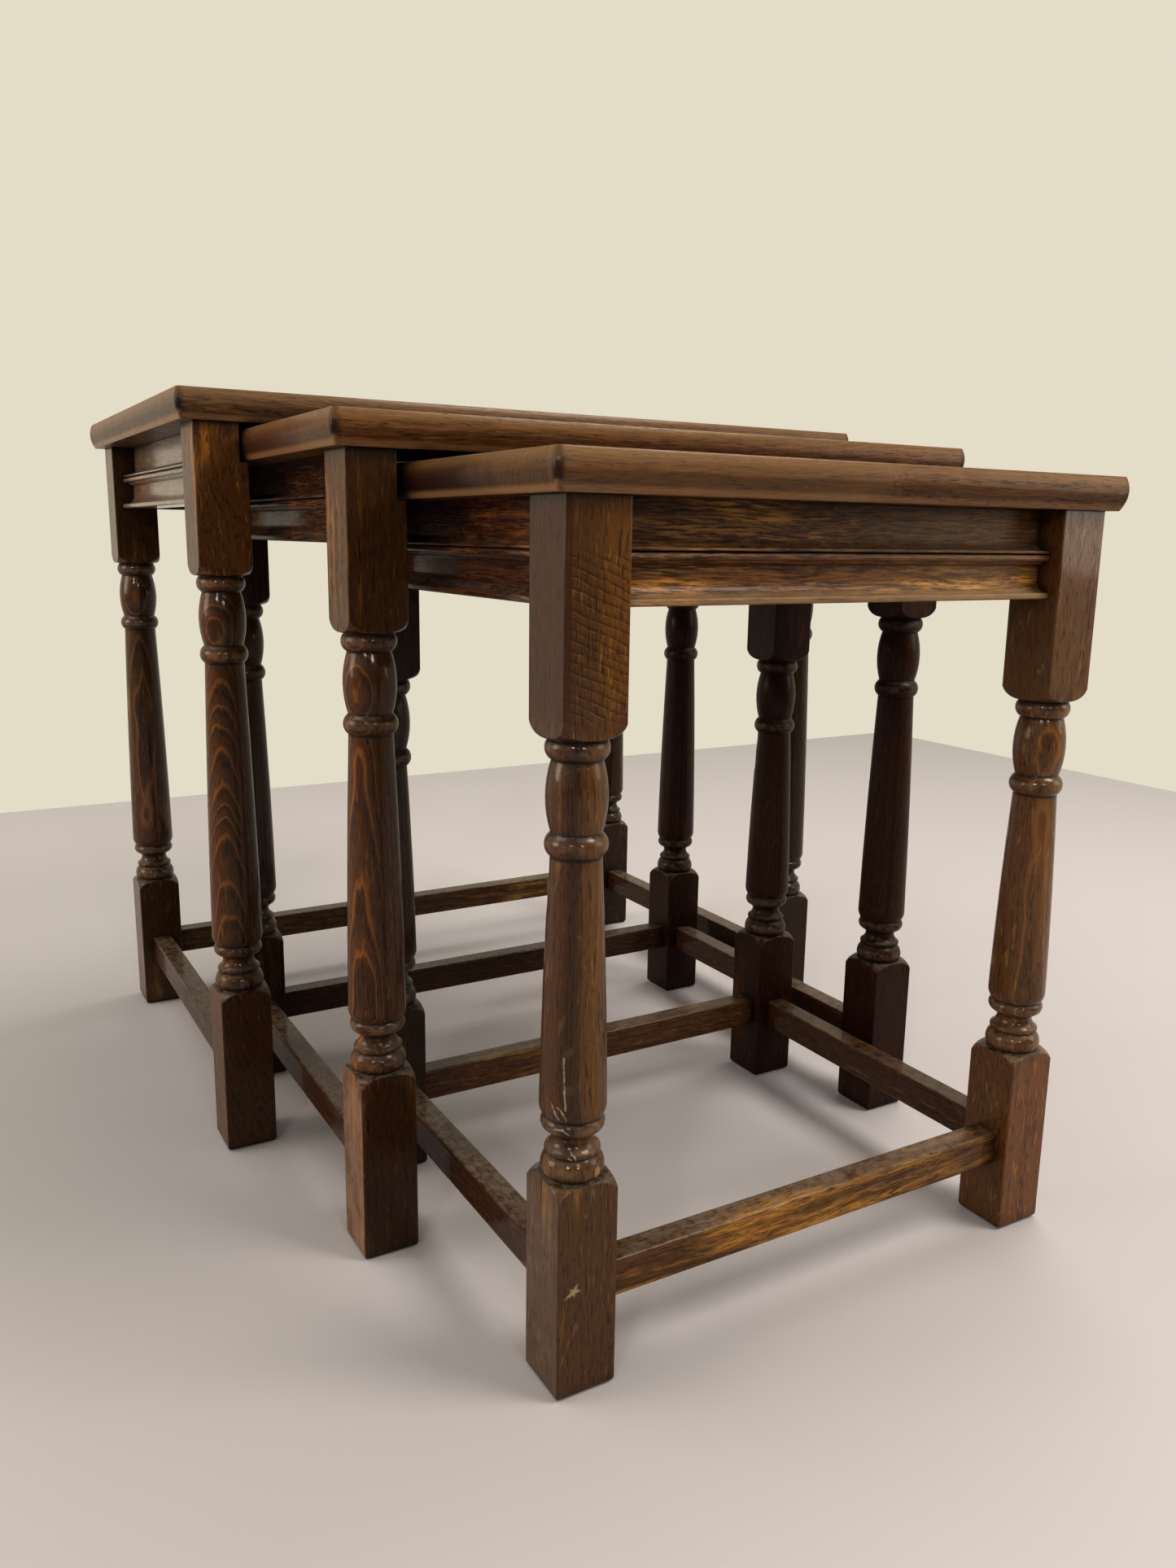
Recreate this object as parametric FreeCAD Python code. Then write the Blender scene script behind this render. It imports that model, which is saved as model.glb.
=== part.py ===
"""A nest of three oak side tables with turned legs, each drawn forward out of the next larger one.

Every table is a frame of four turned legs, moulded aprons and low stretchers under a solid top.
The origin is on the floor under the middle of the whole set; +X is to the right, +Y to the back.
"""
import FreeCAD, Part
import os

from FreeCAD import Vector

# --- Driving dimensions, all in millimetres -------------------------------------------------------
LEG = 34.0                    # square section of every leg blank
LEG_ARRIS = 0.7               # easing of the long edges of a leg
FOOT_EASING = 3.4             # rounding round the bottom of a foot
BLOCK_TOP = 110.5             # height at which the arrises of the lower block end

TOP_THICKNESS = 19.0
TOP_WIDEST = 0.6              # where the rounded edge stands furthest out, as a part of the thickness
TOP_RECESS_ABOVE = 1.6        # how far the upper face stops short of the widest line
TOP_RECESS_BELOW = 3.2        # the same for the lower face
TOP_CORNER = 3.0              # softening of the upright arris at each corner of a top
FRONT_OVERHANG = 8.5
BACK_OVERHANG = 3.0

APRON_HEIGHT = 49.5
APRON_FACE = 17.5             # upper flat of an apron, measured in from the outer face of the legs
APRON_INNER = 28.0            # inner face of an apron, measured in the same way
STRETCHER_BOTTOM = 42.0
STRETCHER_HEIGHT = 21.0
STRETCHER_THICKNESS = 15.7
STRETCHER_EASING = 1.4

TENON_LENGTH = 7.0
APRON_TENON_INSET = 19.5      # outer cheek of an apron's tenon, measured in from the legs' outer face
APRON_TENON_THICKNESS = 6.5
APRON_TENON_RISE = 6.0        # from the bottom of the apron to the bottom of its tenon
APRON_TENON_HEIGHT = 36.0
STRETCHER_TENON_THICKNESS = 8.0
STRETCHER_TENON_RISE = 4.0
STRETCHER_TENON_HEIGHT = 13.0
MORTISE_CLEARANCE = 0.1
DOWEL_DIAMETER = 6.0
DOWEL_IN_APRON = 14.0
DOWEL_IN_TOP = 11.0
DOWEL_CLEARANCE = 0.05
DOWEL_END_GAP = 0.5
DOWEL_SPACING = 0.5           # distance between the two dowels of an apron, as a part of its length

REBATE_DEPTH = 5.5            # cut from the inner corner of a front leg, so the smaller top can pass
REBATE_BELOW = 1.0            # how far the rebate goes on below the underside of the smaller top
CUT_PAST = 1.0                # how far a cutting shape runs on past the face that it opens

LARGE_TO_MIDDLE = 169.0       # how far the middle table stands in front of the large one
MIDDLE_TO_SMALL = 160.0

# Each table: outside width and depth over the legs, height of the underside of the top, height at
# which the arrises of the upper block end, side overhang of the top, and sideways place.
TABLES = {
    "large": dict(width=516.0, depth=339.0, underside=493.0, block_end=401.5, overhang=11.0, x=0.0),
    "middle": dict(width=433.0, depth=310.0, underside=470.0, block_end=376.5, overhang=9.5, x=-2.0),
    "small": dict(width=352.0, depth=283.0, underside=444.5, block_end=339.2, overhang=9.5, x=0.0),
}
FRAMED_ALL_ROUND = "small"
NEXT_SMALLER = {"large": "middle", "middle": "small"}

SET_LENGTH = TABLES["large"]["depth"] + LARGE_TO_MIDDLE + MIDDLE_TO_SMALL + FRONT_OVERHANG + BACK_OVERHANG
TABLES["large"]["front"] = SET_LENGTH / 2 - BACK_OVERHANG - TABLES["large"]["depth"]
TABLES["middle"]["front"] = TABLES["large"]["front"] - LARGE_TO_MIDDLE
TABLES["small"]["front"] = TABLES["middle"]["front"] - MIDDLE_TO_SMALL


def line(start, end):
    return Part.LineSegment(Vector(*start), Vector(*end)).toShape()


def arc(start, through, end):
    return Part.Arc(Vector(*start), Vector(*through), Vector(*end)).toShape()


def outline(start, steps, plane):
    """A closed face from a start point and steps: one point is a line, two points are an arc."""
    edges = []
    here = start
    for step in steps + [[start]]:
        if step[-1] != here:
            points = [plane(*point) for point in [here] + step]
            edges.append(line(*points) if len(points) == 2 else arc(*points))
        here = step[-1]
    return Part.Face(Part.Wire(edges))


def turning(height, upper, lower):
    """The solid of revolution that a leg is turned to; upper and lower are where the blocks end.

    Each step is a radius and a height, given from the nearer block so that every leg has the same
    mouldings and only the length of its tapered shaft differs.
    """
    reach = 26.0
    shaft_top = upper - 60.7
    shaft_foot = lower + 44.0
    steps = [
        [(reach, height)],
        [(reach, upper + 6.4)],
        [(24.2, upper + 6.4)],
        [(21.15, upper - 0.95), (13.9, upper - 4.0)],       # rounded shoulder under the block
        [(13.9, upper - 4.3)],
        [(15.55, upper - 8.6), (12.6, upper - 14.2)],       # first ring
        [(12.4, upper - 14.5)],
        [(15.0, upper - 31.5), (12.5, upper - 48.9)],       # barrel
        [(12.6, upper - 49.2)],
        [(15.4, upper - 54.7), (12.6, upper - 60.4)],       # second ring
        [(12.6, shaft_top)],
        [(15.3, (shaft_top + shaft_foot) / 2), (16.9, shaft_foot)],
        [(16.4, lower + 39.8), (14.9, lower + 37.0)],       # rounded foot of the shaft
        [(14.5, lower + 36.7)],
        [(16.05, lower + 32.6), (13.0, lower + 28.9)],      # thin disc
        [(11.0, lower + 27.2), (10.4, lower + 25.0)],
        [(11.6, lower + 22.0), (13.8, lower + 20.0)],       # cove
        [(14.15, lower + 18.5), (13.2, lower + 17.0)],      # small bead
        [(13.0, lower + 16.9)],
        [(16.15, lower + 11.1), (15.3, lower + 6.0)],       # base bead
        [(14.6, lower + 5.5)],
        [(21.0, lower + 3.1), (24.5, lower - 4.5)],         # rounded shoulder of the lower block
        [(reach, lower - 4.5)],
        [(reach, 0.0)],
        [(0.0, 0.0)],
    ]
    face = outline((0.0, height), steps, lambda radius, z: (radius, 0.0, z))
    return face.revolve(Vector(0, 0, 0), Vector(0, 0, 1), 360.0)


def leg_blank(height):
    blank = Part.makeBox(LEG, LEG, height, Vector(-LEG / 2, -LEG / 2, 0))
    upright = [edge for edge in blank.Edges if edge.BoundBox.ZLength > LEG]
    blank = blank.makeFillet(LEG_ARRIS, upright)
    bottom = [edge for edge in blank.Edges if edge.BoundBox.ZMax < LEG_ARRIS]
    return blank.makeFillet(FOOT_EASING, bottom)


def on_side(shape, table, side):
    """Moves a shape made for the front, centred on x = 0 with the leg faces on y = 0, to a side."""
    half_width = table["width"] / 2
    back = table["front"] + table["depth"]
    centre = (table["front"] + back) / 2
    turn, place = {
        "front": (0, Vector(table["x"], table["front"], 0)),
        "right": (90, Vector(table["x"] + half_width, centre, 0)),
        "back": (180, Vector(table["x"], back, 0)),
        "left": (270, Vector(table["x"] - half_width, centre, 0)),
    }[side]
    moved = shape.copy()
    moved.rotate(Vector(0, 0, 0), Vector(0, 0, 1), turn)
    moved.translate(place)
    return moved


def rail_length(table, side):
    over_legs = table["width"] if side in ("front", "back") else table["depth"]
    return over_legs - 2 * LEG


def extruded(face, length):
    """A face in the plane x = 0, drawn out to both sides of it."""
    face.translate(Vector(-length / 2, 0, 0))
    return face.extrude(Vector(length, 0, 0))


def tenons(length, inset, thickness, bottom, height, clearance=0.0):
    """The two stub tenons of a rail, or with a clearance the pockets that take them."""
    reach = TENON_LENGTH + 2 * clearance
    width = thickness + 2 * clearance
    tall = height + 2 * clearance
    corner = Vector(length / 2, inset - clearance, bottom - clearance)
    right = Part.makeBox(reach, width, tall, corner)
    left = right.copy()
    left.translate(Vector(-length - reach, 0, 0))
    return [left, right]


def apron_tenons(table, side, clearance=0.0):
    bottom = table["underside"] - APRON_HEIGHT + APRON_TENON_RISE
    size = (APRON_TENON_THICKNESS, bottom, APRON_TENON_HEIGHT)
    return tenons(rail_length(table, side), APRON_TENON_INSET, *size, clearance)


def stretcher_tenons(table, side, clearance=0.0):
    inset = (LEG - STRETCHER_TENON_THICKNESS) / 2
    size = (STRETCHER_TENON_THICKNESS, STRETCHER_BOTTOM + STRETCHER_TENON_RISE, STRETCHER_TENON_HEIGHT)
    return tenons(rail_length(table, side), inset, *size, clearance)


def apron_face(z):
    """Section of an apron above height z: two flats, each running out below to a moulded lip."""
    steps = [
        [(APRON_FACE, z + 30.0)],
        [(14.6, z + 27.6), (8.3, z + 26.8)],                # hollow above the upper lip
        [(8.3, z + 25.4)],
        [(11.8, z + 24.6)],                                 # quirk
        [(10.2, z + 24.2)],
        [(7.6, z + 22.7), (10.2, z + 21.2)],                # small bead
        [(11.4, z + 21.0)],
        [(12.6, z + 19.4), (15.5, z + 18.8)],
        [(15.5, z + 9.6)],
        [(13.0, z + 5.2), (6.6, z + 3.4)],                  # hollow above the bottom lip
        [(6.2, z + 2.8)],
        [(6.2, z + 0.7)],
        [(6.9, z)],
        [(APRON_INNER, z)],
        [(APRON_INNER, z + APRON_HEIGHT)],
    ]
    start = (APRON_FACE, z + APRON_HEIGHT)
    return outline(start, steps, lambda inset, height: (0.0, inset, height))


def dowels(table, side, radius, end_gap):
    """The pegs between an apron and the top, or with no end gap the holes that take them."""
    inset = (APRON_FACE + APRON_INNER) / 2
    bottom = table["underside"] - DOWEL_IN_APRON + end_gap
    tall = DOWEL_IN_APRON + DOWEL_IN_TOP - 2 * end_gap
    half = rail_length(table, side) * DOWEL_SPACING / 2
    return [Part.makeCylinder(radius, tall, Vector(x, inset, bottom)) for x in (-half, half)]


def make_apron(table, side):
    rail = extruded(apron_face(table["underside"] - APRON_HEIGHT), rail_length(table, side))
    rail = rail.fuse(apron_tenons(table, side))
    return rail.cut(dowels(table, side, DOWEL_DIAMETER / 2 + DOWEL_CLEARANCE, 0.0))


def make_stretcher(table, side):
    length = rail_length(table, side)
    corner = Vector(-length / 2, (LEG - STRETCHER_THICKNESS) / 2, STRETCHER_BOTTOM)
    rail = Part.makeBox(length, STRETCHER_THICKNESS, STRETCHER_HEIGHT, corner)
    long_edges = [edge for edge in rail.Edges if edge.BoundBox.XLength > length / 2]
    rail = rail.makeFillet(STRETCHER_EASING, long_edges)
    return rail.fuse(stretcher_tenons(table, side))


def top_section(half, z, plane):
    """Section through a top: flat above and below, with a shallow rounded edge at both ends."""
    low = half - TOP_RECESS_BELOW
    high = half - TOP_RECESS_ABOVE
    widest = z + TOP_THICKNESS * TOP_WIDEST
    upper = z + TOP_THICKNESS
    steps = [
        [(half, widest), (high, upper)],
        [(-high, upper)],
        [(-half, widest), (-low, z)],
    ]
    return outline((low, z), steps, plane)


def make_top(table, sides):
    """Two bullnosed boards crossed at right angles leave one board with mitred, moulded corners."""
    half_width = table["width"] / 2 + table["overhang"]
    length = table["depth"] + FRONT_OVERHANG + BACK_OVERHANG
    z = table["underside"]
    across = top_section(half_width, z, lambda x, height: (x, -length, height))
    along = top_section(length / 2, z, lambda y, height: (-2 * half_width, y, height))
    board = across.extrude(Vector(0, 2 * length, 0)).common(along.extrude(Vector(4 * half_width, 0, 0)))
    mitres = [edge for edge in board.Edges if edge.BoundBox.ZLength > TOP_THICKNESS / 4]
    board = board.makeFillet(TOP_CORNER, mitres)
    centre = table["front"] - FRONT_OVERHANG + length / 2
    board.translate(Vector(table["x"], centre, 0))
    radius = DOWEL_DIAMETER / 2 + DOWEL_CLEARANCE
    for side in sides:
        board = board.cut([on_side(hole, table, side) for hole in dowels(table, side, radius, 0.0)])
    return board


def rebate(table, smaller, x_side):
    """The slot along the inner top corner of a front leg, which the smaller top slides through."""
    bottom = smaller["underside"] - REBATE_BELOW
    corner_x = table["x"] + x_side * (table["width"] / 2 - LEG)
    low_x = min(corner_x, corner_x + x_side * REBATE_DEPTH)
    tall = table["underside"] - bottom + CUT_PAST
    corner = Vector(low_x, table["front"] - CUT_PAST, bottom)
    return Part.makeBox(REBATE_DEPTH, LEG + 2 * CUT_PAST, tall, corner)


def make_leg(table, x_side, y_side, pockets):
    leg = leg_blank(table["underside"])
    leg = leg.common(turning(table["underside"], table["block_end"], BLOCK_TOP))
    x = table["x"] + x_side * (table["width"] - LEG) / 2
    y = table["front"] + table["depth"] / 2 + y_side * (table["depth"] - LEG) / 2
    leg.translate(Vector(x, y, 0))
    return leg.cut(pockets)


def make_table(name):
    table = TABLES[name]
    sides = ["left", "right", "back"]
    if name == FRAMED_ALL_ROUND:
        sides.append("front")
    pockets = []
    for side in sides:
        cuts = apron_tenons(table, side, MORTISE_CLEARANCE)
        cuts += stretcher_tenons(table, side, MORTISE_CLEARANCE)
        pockets += [on_side(cut, table, side) for cut in cuts]

    pieces = {"top": make_top(table, sides)}
    for x_side, x_name in ((-1, "left"), (1, "right")):
        for y_side, y_name in ((-1, "front"), (1, "back")):
            cuts = list(pockets)
            if y_name == "front" and name in NEXT_SMALLER:
                cuts.append(rebate(table, TABLES[NEXT_SMALLER[name]], x_side))
            pieces["leg_%s_%s" % (y_name, x_name)] = make_leg(table, x_side, y_side, cuts)
    pegs = []
    for side in sides:
        pieces["apron_" + side] = on_side(make_apron(table, side), table, side)
        pieces["stretcher_" + side] = on_side(make_stretcher(table, side), table, side)
        pegs += [on_side(peg, table, side) for peg in dowels(table, side, DOWEL_DIAMETER / 2, DOWEL_END_GAP)]
    pieces["dowels"] = Part.makeCompound(pegs)
    return pieces


os.makedirs("parts", exist_ok=True)
for table_name in TABLES:
    for piece_name, shape in make_table(table_name).items():
        solids = shape.removeSplitter() if piece_name != "dowels" else shape
        if len(solids.Solids) == 1:
            solids = solids.Solids[0]
        print(table_name, piece_name, len(solids.Solids), round(solids.Volume / 1000, 1), solids.isValid())
        solids.exportStep(os.path.join("parts", "%s_%s.step" % (table_name, piece_name)))
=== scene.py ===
"""Looks for the nest of three oak tables: wood, varnish, wear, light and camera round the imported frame."""
import math
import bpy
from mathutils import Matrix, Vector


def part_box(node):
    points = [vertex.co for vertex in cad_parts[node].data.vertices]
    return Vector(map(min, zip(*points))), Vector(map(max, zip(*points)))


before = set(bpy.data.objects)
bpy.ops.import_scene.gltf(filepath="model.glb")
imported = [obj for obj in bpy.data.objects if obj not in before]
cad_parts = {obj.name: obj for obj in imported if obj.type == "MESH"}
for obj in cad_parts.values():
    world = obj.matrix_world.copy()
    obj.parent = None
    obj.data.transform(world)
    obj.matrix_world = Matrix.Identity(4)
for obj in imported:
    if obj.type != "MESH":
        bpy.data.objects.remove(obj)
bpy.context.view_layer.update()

from types import SimpleNamespace

import bpy
from mathutils import Euler, Vector

# Lengths are in metres, as in the frame: +X is to the right, -Y to the front and +Z up.

# --- Camera: eye a little below the lowest top, in front of the set and to its left ---------------
EYE = Vector((-0.4292, -0.7889, 0.4265))
YAW = math.radians(30.19)         # turned from +Y towards +X
PITCH_DOWN = math.radians(11.74)
ROLL = math.radians(0.85)
LENS_MM = 27.43
SENSOR_MM = 36.0                  # along the long side of the picture
CLIP = (0.01, 60.0)

# --- Stage: a pale room, brightest behind the set and dim in front of it --------------------------
FLOOR_COLOUR = (0.43, 0.402, 0.410, 1.0)
FLOOR_ROUGHNESS = 0.95
FLOOR_GLOSS = 0.1
FLOOR_BACK = 1.19
FLOOR_RIGHT = 1.50
FLOOR_FAR = 12.0
ROOM_BRIGHT = (0.655, 0.618, 0.505, 1.0)
ROOM_DIM = (0.13, 0.12, 0.105, 1.0)
DIM_SIDE = (-0.10, -0.995, 0.0)
DIM_WITHIN = 0.85                 # cosine of the angle from DIM_SIDE up to which the room is dim
BRIGHT_BEYOND = 0.40              # and of the angle from which it is bright

# Each lamp: place, size, watts, colour. The panels light the wood and the small ones leave glints.
LAMPS = {
    "ceiling_panel": ((0.9, 0.2, 2.1), 1.2, 20.0, (1.0, 0.97, 0.92)),
    "front_panel": ((0.95, -1.25, 1.95), 0.9, 26.0, (1.0, 0.94, 0.86)),
    "left_panel": ((-2.1, 0.45, 0.85), 1.0, 14.0, (1.0, 0.89, 0.78)),
    "right_panel": ((1.35, -1.15, 0.75), 0.8, 4.0, (1.0, 0.90, 0.80)),
    "ceiling_left": ((-1.3, 0.5, 2.2), 1.2, 9.0, (1.0, 0.97, 0.95)),
    "glint_front_left": ((-1.7, -1.8, 1.35), 0.20, 8.0, (1.0, 0.98, 0.95)),
    "glint_front": ((-0.4, -2.5, 1.25), 0.20, 7.0, (1.0, 0.98, 0.95)),
}
LAMPS_AIM = Vector((0.0, 0.0, 0.25))


# --- Shapes that the marks follow -----------------------------------------------------------------

# Heights between which a leg is turned; above and below them it is square.
TURNED_FROM = 0.1105
TURNED_TO = {"large": 0.4015, "middle": 0.3765, "small": 0.3392}

# Crowns and grooves of the turning: rings and high grooves are measured down from TURNED_TO, beads and
# low grooves up from TURNED_FROM.
RINGS = (0.0086, 0.0547)
BEADS = (0.0326, 0.0111)
GROOVES_HIGH = (0.0042, 0.0144, 0.0490, 0.0606)
GROOVES_LOW = (0.0368, 0.0170, 0.0057)
CROWN_REACH = (0.0034, 0.0010)    # where a crown's wear begins and is full, away from its middle
GROOVE_REACH = (0.0013, 0.0004)
TURNED_RADIUS = (0.0190, 0.0175)  # the lines show within the second and are gone by the first

# The nearest leg faces the eye along SCUFF_FACING; each line of its scuff is a list of points, as
# millimetres to the right of the leg's middle line, from the middle line, and up.
SCUFF_FACING = Vector((-0.49, -0.87, 0.0)).normalized()
SCUFF_RIGHT = Vector((-SCUFF_FACING.y, SCUFF_FACING.x, 0.0))
SCUFF_LINES = (
    [(-4.4, 16.2, 182.0), (-4.2, 16.6, 165.0), (-3.5, 16.8, 156.0)],
    [(-10.7, 16.7, 158.5), (-8.8, 16.9, 154.5), (-7.0, 16.4, 150.5)],
    [(-7.5, 16.8, 157.0), (-5.0, 16.9, 154.0), (-3.0, 16.4, 150.5)],
    [(-9.5, 16.0, 144.5), (-5.0, 16.0, 145.0), (-2.0, 16.0, 143.0)],
    [(-3.7, 10.7, 136.5), (1.0, 13.9, 130.2), (3.2, 14.4, 125.5)],
    [(0.0, 11.0, 137.5), (5.0, 13.0, 131.3)],
    [(-1.5, 14.1, 129.6), (0.5, 13.6, 127.8)],
)
SCUFF_WIDTH = 0.0007
SCUFF_STRENGTH = 0.42
SCUFF_SWAY = 0.0014               # breadth of the band in which a line of the scuff wanders
MILLIMETRE = 0.001


def colour(red, green, blue):
    return (red, green, blue, 1.0)


# --- Colours of the wood --------------------------------------------------------------------------
# The dark and the pale stain also serve as painted shade and painted light.
DARK_STAIN_AND_SHADE = colour(0.0085, 0.0034, 0.0013)
STAIN_BROWN = colour(0.068, 0.0310, 0.0098)
STAIN_GOLD = colour(0.27, 0.140, 0.030)
PALE_STAIN_AND_LIGHT = colour(0.42, 0.26, 0.120)
LATE_WOOD = colour(0.28, 0.135, 0.046)
DUST = colour(0.21, 0.175, 0.140)
# Painted highlight on the upper curve of a top's nosing, and the tan of its lowest edge:
NOSING_HIGHLIGHT = colour(0.26, 0.145, 0.055)
LOWEST_EDGE_TAN = colour(0.32, 0.175, 0.075)
WORN_CROWN = colour(0.200, 0.140, 0.098)
WORN_LIP = colour(0.30, 0.190, 0.095)
# painted light on the left face of a lower block:
FOOT_LIGHT = colour(0.170, 0.125, 0.095)
ARRIS_RED = colour(0.042, 0.0115, 0.0030)
BARE_NICK = colour(0.43, 0.35, 0.19)
SCRATCHED = colour(0.46, 0.40, 0.32)
BEECH_DARK = colour(0.38, 0.24, 0.12)
BEECH_PALE = colour(0.58, 0.42, 0.24)

# How strongly each part of the figure tells in the colour.
EARLY_STRENGTH = 0.20
LATE_STRENGTH = 0.21
RAY_STRENGTH = 0.22
PORE_STRENGTH = 0.75
RUB_STRENGTH = 0.55
STAIN_AND_SHADE_STRENGTH = 0.75
CROWN_STRENGTH = 0.30
GROOVE_STRENGTH = 0.85
DUST_STRENGTH = 0.45

# Noises of the wood: cells to the metre, octaves, roughness. The streaks' cells are a setting, and the
# rays' noise counts the cells of RAY_CELLS and ends with its distortion.
BENDS = (9.0, 2.0, 0.5)
RING_PATHS = (130.0, 2.0, 0.5)
RING_WIDTHS = (160.0, 1.0, 0.5)
BANDS = (190.0, 2.0, 0.5)
STREAKS = (3.0, 0.62)
PORES = (1500.0, 1.0, 0.5)
RAYS = (1.0, 1.0, 0.4, 0.5)
PATCHES = (24.0, 3.0, 0.6)
RUBS = (60.0, 4.0, 0.65)
CROWN_WEAR = (150.0, 3.0, 0.6)
DUST_SPOTS = (180.0, 4.0, 0.7)
POLISH = (40.0, 3.0, 0.6)

BEND = 0.010                      # how far the fibres wander from a straight line
RAY_CELLS = (30.0, 60.0, 80.0)    # rays to the radian, to the metre of radius and to the metre of length
ARRIS_RADIUS = 0.0013
# how near other surfaces lie where stain gathers and shade is painted
STAIN_AND_SHADE_REACH = 0.010
VARNISH_IOR = 1.5
WOOD_GLOSS = 0.12

# Each piece is cut from its own place in the tree; the numbers only have to be unlike each other.
GOLDEN_ANGLE = 2.39996
SEED_STEP = 1.37
LEAN_STEPS = (1.7, 2.3)
LEAN = 0.018
# Metres from the middle of a piece to the heart of its tree.
HEART_REACH = {"leg": 0.045, "top": 0.16, "apron": 0.07, "stretcher": 0.05}
GRAIN = {"left": "y", "right": "y", "back": "x", "front": "x"}

MEASURES = ("DOT_PRODUCT", "LENGTH", "DISTANCE")      # vector operations that give a number
MIX_FIRST, MIX_SECOND, MIX_RESULT = 6, 7, 2           # the colour sockets of a Mix node


class Graph:
    """Short names for building the nodes of a material or of the world."""

    def __init__(self, tree):
        self.tree = tree

    def feed(self, socket, value):
        if isinstance(value, bpy.types.NodeSocket):
            self.tree.links.new(value, socket)
        else:
            socket.default_value = value

    def node(self, kind, settings=None, **inputs):
        made = self.tree.nodes.new("ShaderNode" + kind)
        for key, value in (settings or {}).items():
            setattr(made, key, value)
        for key, value in inputs.items():
            self.feed(made.inputs[key.replace("_", " ")], value)
        return made

    def math(self, operation, *values, clamp=False):
        made = self.node("Math", {"operation": operation, "use_clamp": clamp})
        for socket, value in zip(made.inputs, values):
            self.feed(socket, value)
        return made.outputs[0]

    def product(self, first, *others):
        for other in others:
            first = self.math("MULTIPLY", first, other)
        return first

    def hypotenuse(self, first, second):
        return self.math("SQRT", self.math("ADD", self.product(first, first), self.product(second, second)))

    def vectors(self, operation, *values, scale=None):
        made = self.node("VectorMath", {"operation": operation})
        for socket, value in zip(made.inputs, values):
            self.feed(socket, value)
        if scale is not None:
            self.feed(made.inputs["Scale"], scale)
        return made.outputs["Value" if operation in MEASURES else "Vector"]

    def vector(self, x, y, z):
        return self.node("CombineXYZ", X=x, Y=y, Z=z).outputs[0]

    def split(self, vector):
        return self.node("SeparateXYZ", Vector=vector).outputs

    def smooth(self, value, low, high, out_low=0.0, out_high=1.0):
        """out_low at low, out_high at high, and an S-shaped run between them."""
        made = self.node("MapRange", {"interpolation_type": "SMOOTHSTEP"}, Value=value)
        for key, number in (("From Min", low), ("From Max", high), ("To Min", out_low), ("To Max", out_high)):
            self.feed(made.inputs[key], number)
        return made.outputs["Result"]

    def between(self, value, low, high, soft):
        """1 where value lies between low and high, with soft ends."""
        begun = self.smooth(value, low - soft, low + soft)
        return self.product(begun, self.smooth(value, high + soft, high - soft))

    def blend(self, factor, first, second):
        """The number first where factor is 0, second where it is 1."""
        kept = self.product(self.math("SUBTRACT", 1.0, factor), first)
        return self.math("MULTIPLY_ADD", factor, second, kept)

    def mix(self, factor, first, second, blend="MIX"):
        settings = {"data_type": "RGBA", "blend_type": blend, "clamp_factor": True}
        made = self.node("Mix", settings, Factor=factor)
        self.feed(made.inputs[MIX_FIRST], first)
        self.feed(made.inputs[MIX_SECOND], second)
        return made.outputs[MIX_RESULT]

    def noise(self, vector, scale, detail=2.0, rough=0.5, distortion=0.0):
        settings = dict(Scale=scale, Detail=detail, Roughness=rough, Distortion=distortion)
        return self.node("TexNoise", Vector=vector, **settings).outputs["Fac"]


def start_material(name):
    """A new material, its graph and the sockets of its shader."""
    material = bpy.data.materials.new(name)
    material.use_nodes = True
    tree = material.node_tree
    return material, Graph(tree), tree.nodes["Principled BSDF"].inputs


def add_to_scene(name, data):
    holder = bpy.data.objects.new(name, data)
    bpy.context.scene.collection.objects.link(holder)
    return holder


# --- Camera, lamps, room and floor ----------------------------------------------------------------

def set_up_camera():
    camera = bpy.data.cameras.new("camera")
    camera.lens = LENS_MM
    camera.sensor_width = SENSOR_MM
    camera.clip_start, camera.clip_end = CLIP
    holder = add_to_scene("camera", camera)
    holder.location = EYE
    level = math.cos(PITCH_DOWN)
    forward = Vector((math.sin(YAW) * level, math.cos(YAW) * level, -math.sin(PITCH_DOWN)))
    turn = forward.to_track_quat("-Z", "Y").to_matrix().to_4x4()
    tilt = Euler((0.0, 0.0, ROLL)).to_matrix().to_4x4()
    holder.rotation_euler = (turn @ tilt).to_euler()
    bpy.context.scene.camera = holder


def set_up_lamps():
    for name, (place, size, watts, tint) in LAMPS.items():
        lamp = bpy.data.lights.new(name, "AREA")
        lamp.shape = "DISK"
        lamp.size = size
        lamp.energy = watts
        lamp.color = tint
        holder = add_to_scene(name, lamp)
        holder.location = place
        holder.rotation_euler = (LAMPS_AIM - Vector(place)).to_track_quat("-Z", "Y").to_euler()


def set_up_room():
    world = bpy.data.worlds.new("room")
    bpy.context.scene.world = world
    world.use_nodes = True
    g = Graph(world.node_tree)
    facing = g.vectors("DOT_PRODUCT", g.node("TexCoord").outputs["Generated"], DIM_SIDE)
    shade = g.mix(g.smooth(facing, DIM_WITHIN, BRIGHT_BEYOND), ROOM_DIM, ROOM_BRIGHT)
    g.feed(world.node_tree.nodes["Background"].inputs["Color"], shade)


def set_up_floor():
    """The floor ends where the room's walls would stand, behind the set and to its right."""
    mesh = bpy.data.meshes.new("floor")
    corners = [
        (-FLOOR_FAR, -FLOOR_FAR, 0.0),
        (FLOOR_RIGHT, -FLOOR_FAR, 0.0),
        (FLOOR_RIGHT, FLOOR_BACK, 0.0),
        (-FLOOR_FAR, FLOOR_BACK, 0.0),
    ]
    mesh.from_pydata(corners, [], [(0, 1, 2, 3)])
    floor = add_to_scene("floor", mesh)
    material, _, shader = start_material("floor")
    shader["Base Color"].default_value = FLOOR_COLOUR
    shader["Roughness"].default_value = FLOOR_ROUGHNESS
    shader["Specular IOR Level"].default_value = FLOOR_GLOSS
    mesh.materials.append(material)


# --- The oak --------------------------------------------------------------------------------------

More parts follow.
